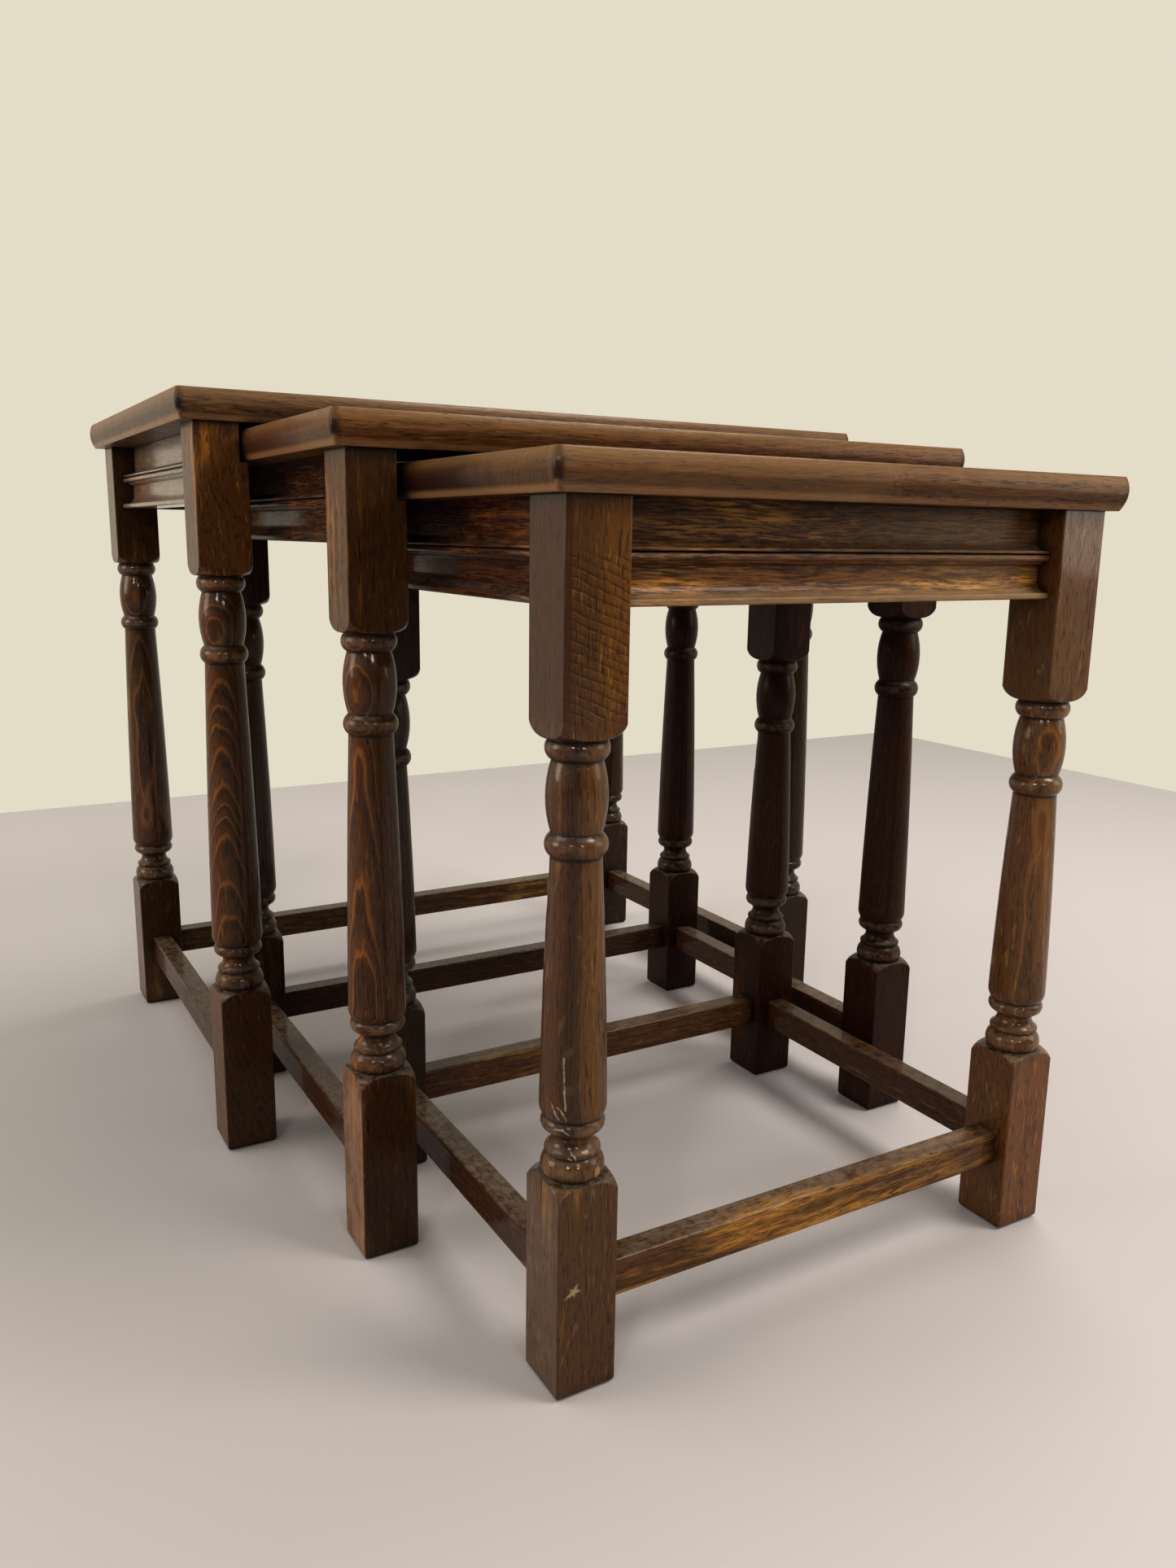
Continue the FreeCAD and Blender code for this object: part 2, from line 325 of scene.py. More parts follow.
class Wood:
    """One piece's material while it is built: the shaded point, the way it faces, its colour so far."""

    def __init__(self, node):
        self.material, self.g, self.shader = start_material("oak_" + node)
        self.low, self.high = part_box(node)
        self.middle = [(low + high) / 2 for low, high in zip(self.low, self.high)]
        self.place = self.g.node("TexCoord").outputs["Object"]
        self.x, self.y, self.z = self.g.split(self.place)
        self.normal = self.g.node("NewGeometry").outputs["Normal"]
        self.rightward, self.backward, self.upward = self.g.split(self.normal)
        bevel = self.g.node("Bevel", {"samples": 4}, Radius=ARRIS_RADIUS)
        self.bevel = bevel.outputs["Normal"]
        self.colour = STAIN_BROWN

    def paint(self, factor, tint, blend="MIX"):
        self.colour = self.g.mix(factor, self.colour, tint, blend)

    def tone(self, factor, tint):
        """Multiplies the colour by tint, where factor is 1."""
        self.paint(factor, tint, "MULTIPLY")

    def facing_front(self):
        """1 on what faces the front, 0 elsewhere."""
        return self.g.smooth(self.backward, -0.60, -0.85)

    def on_piece(self, right, back, up):
        """A place given to the right of and behind the middle of the piece, and up from the floor."""
        return (self.middle[0] + right, self.middle[1] + back, up)


def plan_cut(wood, node, look):
    """Which way the fibres run, and where the heart of the tree lies beside the piece."""
    words = node.split("_")
    kind = words[1]
    number = sorted(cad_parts).index(node)
    grain = {"leg": "z", "top": "x"}.get(kind) or GRAIN[words[-1]]
    across = {"x": (1, 2), "y": (0, 2), "z": (0, 1)}[grain]
    side = look.heart_side or (math.cos(number * GOLDEN_ANGLE), math.sin(number * GOLDEN_ANGLE))
    lean = (
        LEAN * math.sin(number * LEAN_STEPS[0]) + look.runout * side[0],
        LEAN * math.cos(number * LEAN_STEPS[1]) + look.runout * side[1],
    )
    half_way = wood.middle["xyz".index(grain)]
    reach = HEART_REACH[kind]
    heart = [wood.middle[across[i]] + reach * side[i] + half_way * lean[i] for i in (0, 1)]
    return SimpleNamespace(grain=grain, heart=heart, lean=lean, seed=number * SEED_STEP)


def follow_fibres(wood, cut):
    """Places across the fibres, from the heart of the tree, and along them; nothing runs dead straight."""
    g = wood.g
    x, y, z = wood.x, wood.y, wood.z
    across_a, across_b, along = {"x": (y, z, x), "y": (x, z, y), "z": (x, y, z)}[cut.grain]
    a = g.math("MULTIPLY_ADD", along, cut.lean[0], g.math("SUBTRACT", across_a, cut.heart[0]))
    b = g.math("MULTIPLY_ADD", along, cut.lean[1], g.math("SUBTRACT", across_b, cut.heart[1]))
    along = g.math("ADD", along, cut.seed)
    scale, detail, rough = BENDS
    bends = g.node("TexNoise", Vector=g.vector(a, b, along), Scale=scale, Detail=detail, Roughness=rough)
    bend_a, bend_b, _ = g.split(bends.outputs["Color"])
    a = g.math("MULTIPLY_ADD", g.math("SUBTRACT", bend_a, 0.5), BEND, a)
    b = g.math("MULTIPLY_ADD", g.math("SUBTRACT", bend_b, 0.5), BEND, b)

    def stretched(part):
        """The place with only part of its length counted, so that a noise draws out along the grain."""
        return g.vector(a, b, g.product(along, part))
    return SimpleNamespace(a=a, b=b, along=along, radius=g.hypotenuse(a, b), stretched=stretched)


def grow_rings(wood, fibres, cut, look):
    """The early and the late wood of each growth ring; the rings are of uneven width."""
    g = wood.g
    uneven = g.noise(fibres.stretched(0.10), *RING_PATHS)
    width = g.noise(g.vector(fibres.radius, cut.seed, 0.0), *RING_WIDTHS)
    count = g.math("MULTIPLY_ADD", uneven, 0.8, g.math("DIVIDE", fibres.radius, look.ring))
    count = g.math("MULTIPLY_ADD", width, 2.4, count)
    phase = g.math("FRACT", count)
    early = g.product(g.smooth(phase, 0.0, 0.12), g.smooth(phase, 0.50, 0.25))
    late = g.product(g.smooth(phase, 0.74, 0.90), g.smooth(phase, 1.0, 0.95))
    return early, late


def show_streaks(wood, fibres, look):
    """Fine streaks of the fibres."""
    g = wood.g
    place = g.vector(fibres.a, fibres.b, g.math("DIVIDE", fibres.along, look.stretch))
    return g.noise(place, look.coarse, *STREAKS)


def open_pores(wood, fibres, early):
    """Thin dark marks, thickest in the early wood."""
    g = wood.g
    edge = g.math("MULTIPLY_ADD", early, -0.10, 0.64)
    return g.smooth(g.noise(fibres.stretched(0.08), *PORES), edge, g.math("ADD", edge, 0.05))


def show_rays(wood, fibres, look):
    """Short pale flecks that show where the cut runs towards the heart."""
    g = wood.g
    turn = g.math("ARCTAN2", fibres.b, fibres.a)
    parts = [g.product(way, cells) for way, cells in zip((turn, fibres.radius, fibres.along), RAY_CELLS)]
    return g.product(g.smooth(g.noise(g.vector(*parts), *RAYS), 0.64, 0.72), look.flecks)


def find_turning(wood, node, look):
    """Of a leg: how much its rings show, and the worn crowns and the darker grooves of its turning."""
    g = wood.g
    lower, upper = TURNED_FROM, TURNED_TO[node.split("_")[0]]
    off_x = g.math("SUBTRACT", wood.x, wood.middle[0])
    off_y = g.math("SUBTRACT", wood.y, wood.middle[1])
    off = g.hypotenuse(off_x, off_y)
    shown = g.between(wood.z, lower, upper, 0.0015)
    if look.heart_side:
        # the rings close into eyes on the side away from the heart
        away = g.math("MULTIPLY_ADD", off_x, -look.heart_side[0], g.product(off_y, -look.heart_side[1]))
        shown = g.product(shown, g.smooth(g.math("DIVIDE", away, off), 0.55, 0.95))
    rings = g.math("MULTIPLY_ADD", shown, look.turned_rings - look.rings, look.rings)

    slim = g.smooth(off, *TURNED_RADIUS)

    def lines(high, low, reach):
        total = 0.0
        for height in [upper - down for down in high] + [lower + up for up in low]:
            gap = g.math("ABSOLUTE", g.math("SUBTRACT", wood.z, height))
            total = g.math("ADD", total, g.smooth(gap, *reach))
        return g.product(total, slim)
    crowns = lines(RINGS, BEADS, CROWN_REACH)
    grooves = lines(GROOVES_HIGH, GROOVES_LOW, GROOVE_REACH)
    return SimpleNamespace(rings=rings, crowns=crowns, grooves=grooves)


def stain(wood, fibres, figure, cut, look):
    """The colour of sound wood under its stain."""
    g = wood.g
    patch = g.noise(fibres.stretched(0.30), *PATCHES)
    band = g.noise(fibres.stretched(0.06), *BANDS)
    scarce = -0.55 * look.gold
    golden = g.smooth(g.math("MULTIPLY_ADD", band, 0.6, patch), 1.12 + scarce, 1.38 + scarce)
    outward = (wood.rightward, wood.backward, wood.upward)["xyz".index(cut.grain)]
    end_grain = g.smooth(g.math("ABSOLUTE", outward), 0.5, 0.85)
    wood.paint(g.product(golden, g.math("MULTIPLY_ADD", end_grain, -0.75, 1.0)), STAIN_GOLD)
    light = g.smooth(figure.streak, 0.49 - look.spread, 0.49 + look.spread)
    light = g.blend(g.product(end_grain, 0.6), light, 0.6)
    wood.paint(g.math("MULTIPLY_ADD", light, -look.streaks, look.streaks), DARK_STAIN_AND_SHADE)
    wood.paint(g.product(figure.early, EARLY_STRENGTH), DARK_STAIN_AND_SHADE)
    wood.paint(g.product(figure.late, LATE_STRENGTH), LATE_WOOD)
    wood.paint(g.product(figure.ray, RAY_STRENGTH), PALE_STAIN_AND_LIGHT)
    wood.paint(g.product(figure.pore, PORE_STRENGTH), DARK_STAIN_AND_SHADE)
    # look.tone also paints light and shade for some pieces
    wood.tone(1.0, colour(*look.tone))


def sheen_the_left(wood, strength):
    """Painted light: what faces left is made lighter, for the sheen of the bright room on that side."""
    wood.tone(wood.g.product(wood.g.smooth(wood.rightward, -0.15, -0.95), strength), colour(1.9, 1.62, 1.30))


def light_the_nosing(wood, strength):
    """The nosing of a top, with painted light and shade: lighter on its upper curve as if lit from above,
    darker on the flat, painted shade under the curve, and tan along its lowest edge.
    """
    g = wood.g
    up = wood.upward
    # painted highlight where the curve faces up
    lit_above = g.product(g.smooth(up, 0.02, 0.30), g.smooth(up, 0.97, 0.80))
    wood.paint(g.product(lit_above, strength), NOSING_HIGHLIGHT)
    # painted shade under the curve; the flat is darkened with it
    below = g.product(g.smooth(up, 0.02, -0.12), g.smooth(up, -0.44, -0.30))
    wood.tone(g.math("MAXIMUM", g.smooth(up, 0.93, 0.995), below), colour(0.62, 0.56, 0.52))
    lowest = g.product(g.smooth(up, -0.30, -0.44), g.smooth(up, -0.97, -0.80))
    wood.paint(g.product(lowest, g.smooth(wood.rightward, -0.40, -0.75, 0.22, 0.50)), LOWEST_EDGE_TAN)


def wear_edges(wood, look, turning):
    """Rubbed arrises and crowns are paler and the grooves darker; stain gathered in hollows and painted shade
    darken inner corners and what lies close under or beside other parts.
    """
    g = wood.g
    edge = g.smooth(g.vectors("DOT_PRODUCT", wood.bevel, wood.normal), 0.985, 0.80)
    rub = g.smooth(g.noise(wood.place, *RUBS), 0.44, 0.66)
    wood.paint(g.product(edge, rub, look.wear, RUB_STRENGTH), PALE_STAIN_AND_LIGHT)
    if turning:
        worn = g.smooth(g.noise(wood.place, *CROWN_WEAR), 0.36, 0.64)
        wood.paint(g.product(turning.crowns, worn, CROWN_STRENGTH), WORN_CROWN)
        wood.paint(g.product(turning.grooves, GROOVE_STRENGTH), DARK_STAIN_AND_SHADE)
    # stain gathered in hollows and painted shade, wherever other surfaces lie near
    occlusion = g.node("AmbientOcclusion", {"samples": 4}, Distance=STAIN_AND_SHADE_REACH).outputs["AO"]
    wood.paint(g.product(g.smooth(occlusion, 0.88, 0.42), STAIN_AND_SHADE_STRENGTH), DARK_STAIN_AND_SHADE)


def lay_dust(wood, look):
    """Dust on what faces up."""
    g = wood.g
    spots = g.smooth(g.noise(wood.place, *DUST_SPOTS), 0.34, 0.62)
    lying = g.product(g.smooth(wood.upward, 0.35, 0.95), spots, look.dust)
    wood.paint(g.product(lying, DUST_STRENGTH), DUST)
    return lying


def varnish(wood, figure, lying, look):
    """Sets the shader: the stained wood, its fine relief, and the film of varnish that half fills it."""
    g = wood.g
    polish = g.noise(wood.place, *POLISH)
    rough = g.math("MULTIPLY_ADD", polish, 0.18, 0.33)
    rough = g.math("MULTIPLY_ADD", figure.pore, 0.12, rough)
    rough = g.math("MULTIPLY_ADD", lying, 0.30, rough)
    height = g.math("MULTIPLY_ADD", figure.pore, -1.0, g.product(figure.streak, 0.8))
    height = g.math("MULTIPLY_ADD", figure.early, -0.35, height)
    height = g.math("MULTIPLY_ADD", polish, 1.2, height)
    relief = g.node("Bump", Strength=0.35, Distance=0.00022 * look.relief, Height=height, Normal=wood.bevel)
    film = g.node("Bump", Strength=0.22, Distance=0.00018 * look.relief, Height=height, Normal=wood.bevel)
    g.feed(wood.shader["Base Color"], wood.colour)
    g.feed(wood.shader["Roughness"], rough)
    g.feed(wood.shader["Normal"], relief.outputs["Normal"])
    g.feed(wood.shader["Coat Normal"], film.outputs["Normal"])
    wood.shader["Specular IOR Level"].default_value = WOOD_GLOSS
    wood.shader["Coat Weight"].default_value = look.coat
    wood.shader["Coat Roughness"].default_value = look.film_rough
    wood.shader["Coat IOR"].default_value = VARNISH_IOR


def make_oak(node, look):
    """Varnished, dark-stained oak as a solid texture, so that the figure follows the cut of the piece."""
    wood = Wood(node)
    g = wood.g
    cut = plan_cut(wood, node, look)
    fibres = follow_fibres(wood, cut)
    early, late = grow_rings(wood, fibres, cut, look)
    turning = find_turning(wood, node, look) if "_leg_" in node else None
    rings = turning.rings if turning else look.rings
    figure = SimpleNamespace(
        pore=open_pores(wood, fibres, early),
        ray=show_rays(wood, fibres, look),
        streak=show_streaks(wood, fibres, look),
        early=g.product(early, rings),
        late=g.product(late, rings),
    )
    stain(wood, fibres, figure, cut, look)
    for mark in look.marks:
        mark(wood)
    # painted light: the sheen on what faces left
    if look.faded_left:
        sheen_the_left(wood, look.faded_left)
    # painted light and shade on the nosing of a top
    if look.rounding:
        light_the_nosing(wood, look.rounding)
    wear_edges(wood, look, turning)
    lying = lay_dust(wood, look)
    varnish(wood, figure, lying, look)
    return wood.material


# --- Marks of making, age and use, and painted light and shade; each paints on the wood of one piece ---

def blob(centre, size, tint, strength, blend="MIX"):
    """A soft oval of another colour. centre is given as for on_piece, and size is half the extent."""
    def mark(wood):
        g = wood.g
        scaled = g.vectors("DIVIDE", g.vectors("SUBTRACT", wood.place, wood.on_piece(*centre)), size)
        away = g.vectors("LENGTH", scaled)
        ragged = g.math("MULTIPLY_ADD", g.noise(wood.place, 420.0, 2.0, 0.6), 0.5, away)
        wood.paint(g.product(g.smooth(ragged, 1.32, 1.08), strength), tint, blend)
    return mark


def saw_marks(wood):
    """Slanting marks of the saw, left on the front of a leg's upper block under the varnish, drawn in colour
    alone: painted shade in the hollow of each mark and a painted highlight along its lower edge.
    """
    g = wood.g
    foot = TURNED_TO["small"]
    slant, pitch = 0.42, 0.0046
    row = g.math("DIVIDE", g.math("MULTIPLY_ADD", wood.x, slant, wood.z), pitch)
    row = g.math("MULTIPLY_ADD", g.noise(wood.place, 70.0, 2.0, 0.5), 0.9, row)
    phase = g.math("FRACT", row)
    zone = g.product(wood.facing_front(), g.between(wood.z, foot + 0.0038, foot + 0.0798, 0.004))
    broken = g.smooth(g.noise(g.vector(wood.x, 0.3, g.product(row, 0.004)), 330.0, 2.0, 0.6), 0.43, 0.55)
    # painted shade in the hollows of the marks
    wood.paint(g.product(g.between(phase, 0.55, 0.95, 0.12), zone, 0.25), DARK_STAIN_AND_SHADE)
    wood.paint(g.product(g.between(phase, 0.60, 0.74, 0.07), zone, broken, 0.55), DARK_STAIN_AND_SHADE)
    # painted highlight along the lower edge of each mark
    wood.paint(g.product(g.between(phase, 0.44, 0.52, 0.06), zone, broken, 0.17), PALE_STAIN_AND_LIGHT)


def golden_face(wood):
    """The golden part of a leg's upper front face, darker again towards both ends and the left."""
    g = wood.g
    left, foot = wood.low[0], TURNED_TO["small"]
    zone = g.product(
        g.smooth(wood.x, left + 0.010, left + 0.026),
        g.smooth(wood.z, foot - 0.0092, foot + 0.0208),
        g.smooth(wood.z, foot + 0.1308, foot + 0.0708),
        wood.facing_front(),
    )
    wood.tone(zone, colour(1.68, 1.56, 0.82))


def light_the_turning(wood):
    """Painted light and shade on a leg's turned part, by which way it faces: a mauve-brown sheen to the left,
    painted shade in the middle, golden light to the right.
    """
    g = wood.g
    around = g.vectors("DOT_PRODUCT", wood.normal, (0.87, -0.49, 0.0))
    around = g.math("MULTIPLY_ADD", g.math("SUBTRACT", g.noise(wood.place, 55.0, 3.0, 0.6), 0.5), 0.5, around)
    zone = g.between(wood.z, TURNED_FROM + 0.0175, TURNED_TO["small"] - 0.0022, 0.003)
    wood.tone(g.product(g.smooth(around, -0.15, -0.55), zone), colour(0.98, 0.92, 1.12))
    wood.tone(g.product(g.between(around, -0.35, 0.12, 0.15), zone), colour(0.55, 0.54, 0.60))
    wood.tone(g.product(g.between(around, 0.25, 0.90, 0.15), zone), colour(1.38, 1.42, 0.98))


def red_arris(wood):
    """A dark red strip along a leg's left front arris."""
    g = wood.g
    left, foot = wood.low[0], TURNED_TO["small"]
    strip = g.product(
        g.between(wood.x, left - 0.0005, left + 0.0038, 0.0006),
        g.smooth(wood.z, foot - 0.0042, foot + 0.0108),
    )
    wood.paint(g.product(strip, 0.75), ARRIS_RED)


def star_nick(wood):
    """A ragged knock on the front of a foot, down to bare wood."""
    g = wood.g
    right = g.math("SUBTRACT", wood.x, wood.low[0] + 0.0092)
    up = g.math("SUBTRACT", wood.z, 0.0600)
    around = g.math("ARCTAN2", up, right)
    points = g.math("COSINE", g.math("MULTIPLY_ADD", around, 5.0, 0.8))
    uneven = g.math("COSINE", g.math("MULTIPLY_ADD", around, 2.0, 2.1))
    ragged = g.math("MULTIPLY_ADD", points, -0.34, g.math("MULTIPLY_ADD", uneven, 0.22, 1.0))
    reach = g.math("SUBTRACT", g.product(g.hypotenuse(right, up), ragged), 0.0008)
    reach = g.math("MULTIPLY_ADD", g.noise(wood.place, 900.0, 2.0, 0.6), 0.0016, reach)
    wood.paint(g.product(g.smooth(reach, 0.0034, 0.0006), wood.facing_front(), 0.65), BARE_NICK)


def distance_to_line(g, place, start, end):
    along = end - start
    offset = g.vectors("SUBTRACT", place, start)
    part = g.math("ADD", g.vectors("DOT_PRODUCT", offset, along / along.length_squared), 0.0, clamp=True)
    return g.vectors("DISTANCE", offset, g.vectors("SCALE", along, scale=part))


def scuff(wood):
    """Thin, pale, broken lines of a knock that ran down the foot of a shaft, over the disc and the beads."""
    g = wood.g
    axis = Vector(wood.on_piece(0.0, 0.0, 0.0))

    def on_leg(right, radius, up):
        forward = math.sqrt(radius * radius - right * right)
        return axis + (SCUFF_RIGHT * right + SCUFF_FACING * forward + Vector((0.0, 0.0, up))) * MILLIMETRE
    broken = g.smooth(g.noise(wood.place, 330.0, 2.0, 0.6), 0.36, 0.50)
    sway = g.node("TexNoise", Vector=wood.place, Scale=260.0, Detail=1.0).outputs["Color"]
    place = g.vectors("MULTIPLY_ADD", sway, [SCUFF_SWAY] * 3, wood.place)
    place = g.vectors("SUBTRACT", place, [SCUFF_SWAY / 2] * 3)
    for line in SCUFF_LINES:
        points = [on_leg(*point) for point in line]
        for start, end in zip(points, points[1:]):
            near = g.smooth(distance_to_line(g, place, start, end), SCUFF_WIDTH, SCUFF_WIDTH * 0.4)
            wood.paint(g.product(near, broken, SCUFF_STRENGTH), SCRATCHED)


def light_the_foot(strength):
    """Painted light: the left face of a lower block made paler and greyer, as lit from the low left."""
    def mark(wood):
        g = wood.g
        top = TURNED_FROM
        zone = g.product(g.smooth(wood.rightward, -0.80, -0.95), g.smooth(wood.z, top + 0.0115, top - 0.0055))
        uneven = g.smooth(g.noise(wood.place, *RUBS), 0.25, 0.60)
        wood.paint(g.product(zone, uneven, strength), FOOT_LIGHT)
    return mark


def light_the_apron(wood):
    """Painted light on the front apron: its lower flat lighter and golden, as lit below the shade of the top,
    and a pale painted sheen over its lower part, stronger towards the right.
    """
    g = wood.g
    foot = wood.low[2]
    flat = g.between(wood.z, foot + 0.0055, foot + 0.0215, 0.0006)
    # painted light on the lower flat
    wood.tone(g.product(flat, 0.9), colour(1.72, 1.70, 1.55))
    # painted sheen, paler towards the right
    lower = g.smooth(wood.z, foot + 0.0530, foot + 0.0210, 0.10, 0.19)
    wood.paint(g.product(lower, g.smooth(wood.x, -0.06, 0.14)), PALE_STAIN_AND_LIGHT)


def worn_lip(wood):
    """The bottom lip of the front apron, rubbed back to pale brown."""
    g = wood.g
    foot = wood.low[2]
    wear = g.smooth(g.noise(g.vector(g.product(wood.x, 0.15), 0.0, wood.z), 420.0, 3.0, 0.6), 0.30, 0.62)
    lip = g.product(g.smooth(wood.z, foot + 0.0060, foot + 0.0046), g.math("MULTIPLY_ADD", wear, 0.5, 0.5))
    wood.paint(g.product(lip, 0.62), WORN_LIP)


def shade_the_corners(wood):
    """Painted shade round the upright corners of a top, for the dark reflection on their rounding."""
    g = wood.g
    x, y, low, high = wood.x, wood.y, wood.low, wood.high
    to_side = g.math("MINIMUM", g.math("SUBTRACT", x, low[0]), g.math("SUBTRACT", high[0], x))
    to_end = g.math("MINIMUM", g.math("SUBTRACT", y, low[1]), g.math("SUBTRACT", high[1], y))
    inward = g.math("MAXIMUM", to_side, to_end)
    near = g.math("MULTIPLY_ADD", g.noise(wood.place, 240.0, 2.0, 0.6), 0.003, inward)
    wood.paint(g.product(g.smooth(near, 0.0075, 0.0035), 0.8), DARK_STAIN_AND_SHADE)


def aged_end(tint, strength):
    """The left end of a top, which has aged to a darker brown in patches, most of all away from the front."""
    def mark(wood):
        g = wood.g
        patch = g.math("SUBTRACT", wood.y, wood.low[1] + 0.08)
        patch = g.math("MULTIPLY_ADD", patch, 5.0, g.noise(wood.place, 45.0, 3.0, 0.6))
        aged = g.product(g.smooth(wood.rightward, -0.40, -0.75), g.smooth(patch, 0.22, 0.62))
        wood.paint(g.product(aged, strength), tint)
    return mark


def grey(level, warmth=0.0):
    """A tone that darkens or lightens, and takes out some blue; warmth takes out more."""
    return (level * (1.0 + 0.25 * warmth), 0.97 * level, level * (0.84 - 0.5 * warmth))


# --- Settings -------------------------------------------------------------------------------------

# What all the oak shares unless its kind or the piece says otherwise. Most are strengths from 0 to 1.
OAK = dict(
    tone=(1.0, 1.0, 1.0),         # what the stained colour is multiplied by; for some pieces it also paints light and shade
    gold=0.4,                     # how much of the wood is golden
    ring=0.0030,                  # mean width of a growth ring
    rings=0.35,                   # how clearly the rings show
    turned_rings=0.3,             # the same on the turned part of a leg
    streaks=0.7,                  # contrast of the fibre streaks
    spread=0.13,                  # softness of the streaks
    coarse=700.0,                 # streaks to the metre
    stretch=10.0,                 # length of a streak over its width
    flecks=0.5,                   # ray flecks
    heart_side=None,              # way from a leg's middle line to the heart of its tree, if it matters
    runout=0.0,                   # how much the fibres run out of the piece towards the heart
    rounding=0.0,                 # painted light on a top's nosing: how much lighter its upper curve is
    faded_left=0.0,               # painted light: how much lighter what faces left is made, for its sheen
    wear=0.5,                     # rub on the arrises
    dust=0.5,
    coat=0.4,                     # varnish
    film_rough=0.075,             # roughness of the varnish
    relief=1.0,                   # depth of the grain under it
    marks=(),
)

KINDS = {
    "top": dict(
        gold=0.28, rings=0.25, streaks=0.5, coarse=900.0, stretch=14.0, flecks=0.0,
        rounding=0.34, wear=0.8, dust=0.2, coat=0.20, film_rough=0.12),
    "leg": dict(
        rings=0.05, streaks=0.42, spread=0.17, coarse=1150.0, wear=0.35, dust=0.8, coat=0.5),
    "apron": dict(
        gold=0.6, streaks=0.85, spread=0.085, coarse=820.0, stretch=14.0,
        wear=0.6, dust=0.6, film_rough=0.12, relief=2.5),
    "stretcher": dict(
        gold=0.5, streaks=0.6, coarse=850.0, wear=0.7, dust=0.8, coat=0.35),
}

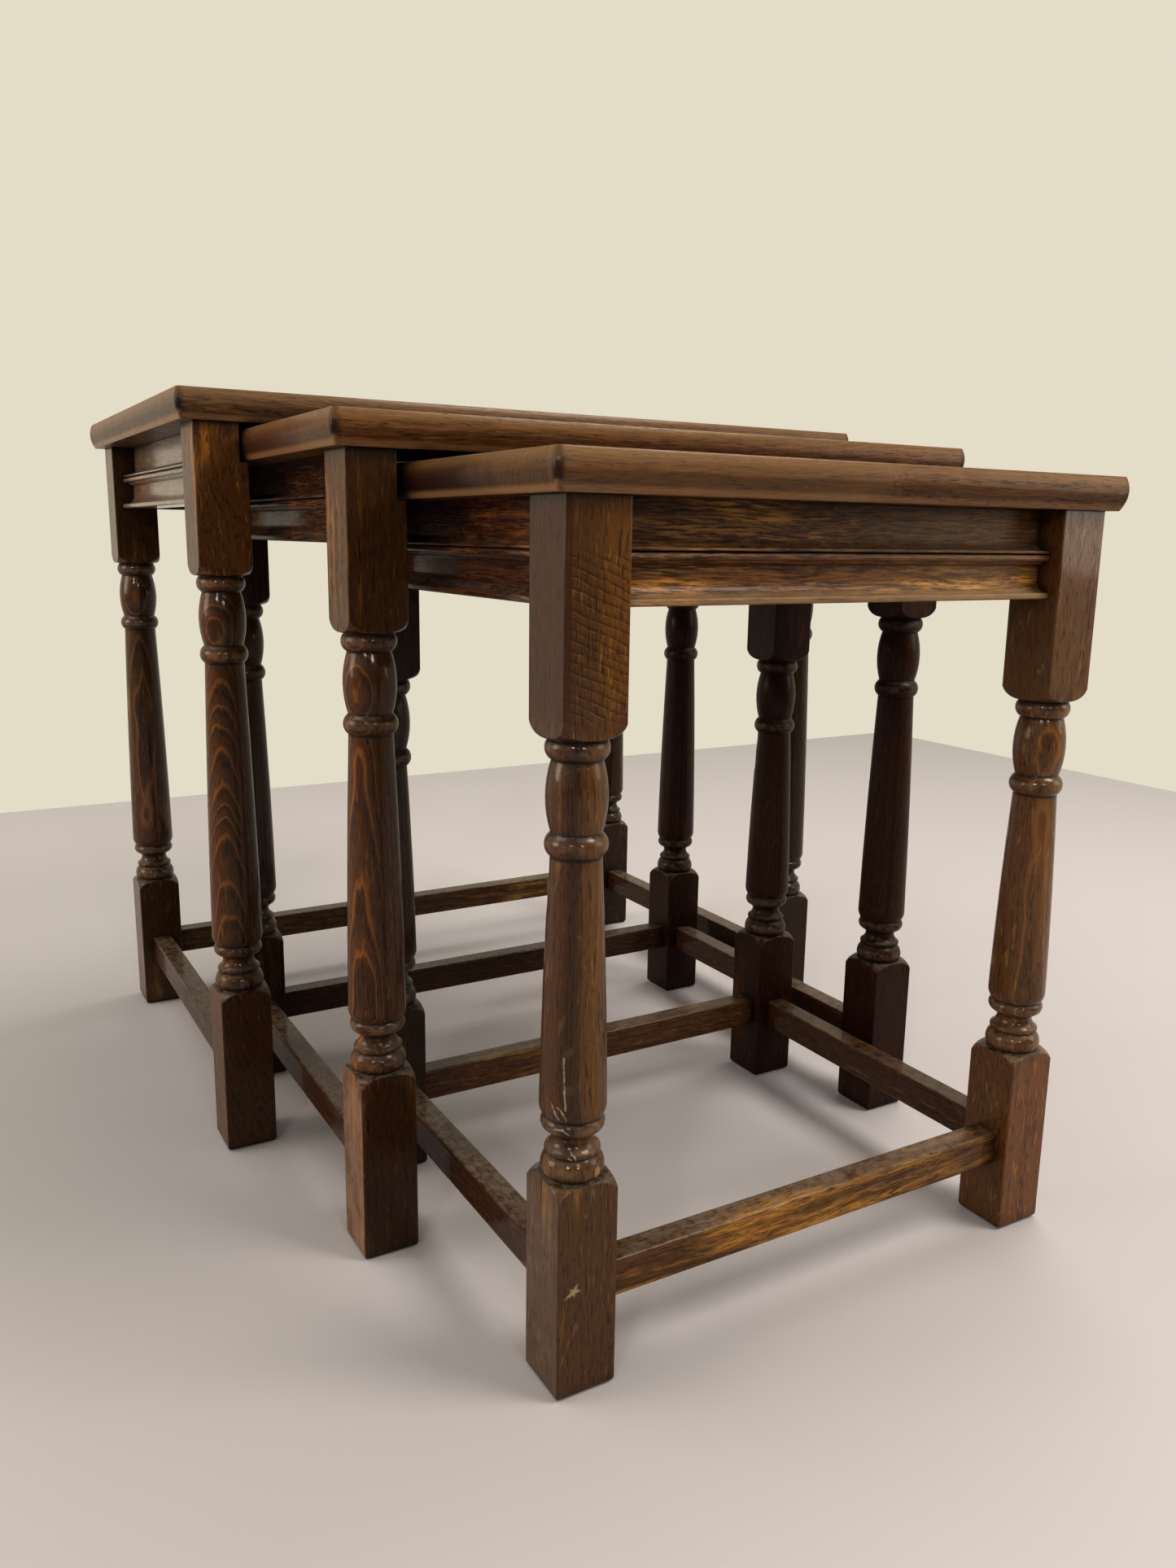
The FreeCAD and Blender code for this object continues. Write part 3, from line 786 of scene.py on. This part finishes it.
# What sets one piece apart from the others of its kind; some tones and marks paint light and shade.
PIECES = {
    "small_top": dict(
        tone=grey(1.74, 0.15),
        marks=(
            # painted light: a paler patch on the left of the front nosing, where light from above falls on it
            blob((-0.105, -0.146, 0.456), (0.120, 0.010, 0.030), colour(0.30, 0.205, 0.120), 0.16),
            shade_the_corners,
            aged_end(colour(0.024, 0.0075, 0.0040), 0.85),
        )),
    "middle_top": dict(
        tone=(2.18, 2.14, 2.04),
        marks=(shade_the_corners, aged_end(colour(0.060, 0.019, 0.010), 0.65))),
    "large_top": dict(tone=(1.92, 2.28, 3.40), marks=(shade_the_corners,)),

    "small_leg_front_left": dict(
        tone=grey(1.08, 0.15), gold=0.42, streaks=0.36,
        marks=(
            golden_face, light_the_turning, saw_marks, red_arris, light_the_foot(0.25), star_nick,
            blob((0.0060, -0.01505, 0.1200), (0.0026, 0.0026, 0.0030), colour(0.34, 0.155, 0.060), 0.8),
            scuff,
        )),
    # Painted light: this leg takes a lighter tone than its neighbours, for the sheen on it.
    "small_leg_front_right": dict(
        tone=(1.55, 1.42, 1.15), gold=0.22, streaks=0.36, turned_rings=0.9, heart_side=(0.360, 0.933),
        marks=(
            blob((-0.0042, -0.01375, 0.240), (0.005, 0.020, 0.075), colour(0.17, 0.080, 0.018), 0.28),
            blob((0.0, -0.01705, 0.055), (0.022, 0.006, 0.065), colour(1.45, 1.22, 0.85), 0.8, "MULTIPLY"),
        )),
    # Painted shade: the legs under the tables take dark tones for the shade they stand in.
    "small_leg_back_left": dict(tone=grey(0.40), coat=0.3),
    "small_leg_back_right": dict(tone=(0.42, 0.26, 0.19), coat=0.10),
    # Painted light and shade: a dark tone for the shade on the front of the leg, made lighter again where it
    # faces left.
    "middle_leg_front_left": dict(
        tone=grey(0.62, 0.5), turned_rings=1.7, heart_side=(0.770, 0.640), runout=0.05,
        faded_left=1.0, coat=0.36,
        marks=(
            light_the_foot(0.42),
            # painted shade on the front of the lower block
            blob((0.0, -0.01705, 0.055), (0.018, 0.006, 0.070), colour(0.62, 0.54, 0.58), 0.9, "MULTIPLY"),
        )),
    # Painted shade: a dark tone for the shade under the tables.
    "middle_leg_front_right": dict(tone=(0.43, 0.27, 0.19), coat=0.11),
    "middle_leg_back_left": dict(tone=grey(0.42), coat=0.3),
    "middle_leg_back_right": dict(tone=(0.40, 0.27, 0.20), coat=0.12),
    # Painted light and shade: a dark tone for the shade on the front of the leg, made lighter again where it
    # faces left.
    "large_leg_front_left": dict(
        tone=grey(0.62, 0.5), turned_rings=1.7, heart_side=(0.503, 0.860), runout=0.12, ring=0.0026,
        faded_left=1.0, coat=0.36,
        marks=(
            blob((0.0, -0.01675, 0.445), (0.024, 0.006, 0.060), colour(2.10, 2.00, 1.80), 0.85, "MULTIPLY"),
        )),
    # Painted shade: a dark tone for the shade under the tables.
    "large_leg_front_right": dict(tone=grey(0.36, 0.3), coat=0.3),
    # Painted light: the left faces of this leg are made lighter for their sheen.
    "large_leg_back_left": dict(
        tone=grey(0.7, 0.3), turned_rings=1.7, heart_side=(0.337, 0.941), faded_left=0.5),
    # Painted shade: a dark tone for the shade under the tables.
    "large_leg_back_right": dict(tone=grey(0.45), coat=0.3),

    "small_apron_left": dict(tone=(1.05, 0.72, 0.70), coat=0.85, film_rough=0.16),
    "middle_apron_left": dict(tone=(0.85, 0.66, 0.66), film_rough=0.18),
    # Painted sheen: the pale, blue-heavy tone and the pale grey patch over the apron stand in for the bright
    # room seen in it at a grazing angle.
    "large_apron_left": dict(
        tone=(2.20, 2.20, 2.60), gold=0.40, streaks=0.45, coat=0.8,
        marks=(
            blob((0.0009, -0.00025, 0.468), (0.040, 0.200, 0.060), colour(0.300, 0.245, 0.195), 0.32),
        )),
    "small_apron_front": dict(
        tone=(1.5, 1.42, 1.34), gold=0.65, coat=0.25, film_rough=0.30, marks=(light_the_apron, worn_lip)),

    "small_stretcher_front": dict(tone=grey(1.25, 0.2), gold=0.6),
    "small_stretcher_left": dict(tone=(0.75, 0.62, 0.62), gold=0.2),
    "middle_stretcher_left": dict(tone=(0.82, 0.66, 0.64), gold=0.25),
    "large_stretcher_left": dict(tone=(0.85, 0.70, 0.72), gold=0.3),
    "small_stretcher_back": dict(tone=(1.28, 1.20, 1.10)),
    "middle_stretcher_back": dict(tone=(0.62, 0.46, 0.42), gold=0.2),
    "small_stretcher_right": dict(tone=(0.80, 0.68, 0.50), dust=0.35),
    "middle_stretcher_right": dict(tone=(0.85, 0.70, 0.68), gold=0.25),
    "large_stretcher_right": dict(tone=(0.80, 0.72, 0.75), gold=0.25),
}


# --- Dressing the pieces --------------------------------------------------------------------------

def make_beech(node):
    """Plain beech for the dowels, which are sealed inside the joints."""
    material, g, shader = start_material("beech_" + node)
    x, y, z = g.split(g.node("TexCoord").outputs["Object"])
    grain = g.noise(g.vector(x, y, g.product(z, 0.05)), 700.0, 3.0, 0.6)
    g.feed(shader["Base Color"], g.mix(grain, BEECH_DARK, BEECH_PALE))
    g.feed(shader["Normal"], g.node("Bump", Strength=0.3, Distance=0.0002, Height=grain).outputs["Normal"])
    shader["Roughness"].default_value = 0.7
    return material


def dress(node):
    """Gives a CAD node its own cut of wood."""
    kind = node.split("_")[1]
    if kind == "dowels":
        material = make_beech(node)
    else:
        look = SimpleNamespace(**{**OAK, **KINDS[kind], **PIECES.get(node, {})})
        material = make_oak(node, look)
    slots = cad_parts[node].data.materials
    slots.clear()
    slots.append(material)


bpy.context.scene.view_settings.view_transform = "Standard"
bpy.context.scene.view_settings.look = "Medium High Contrast"
set_up_camera()
set_up_lamps()
set_up_room()
set_up_floor()
for node in sorted(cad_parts):
    dress(node)
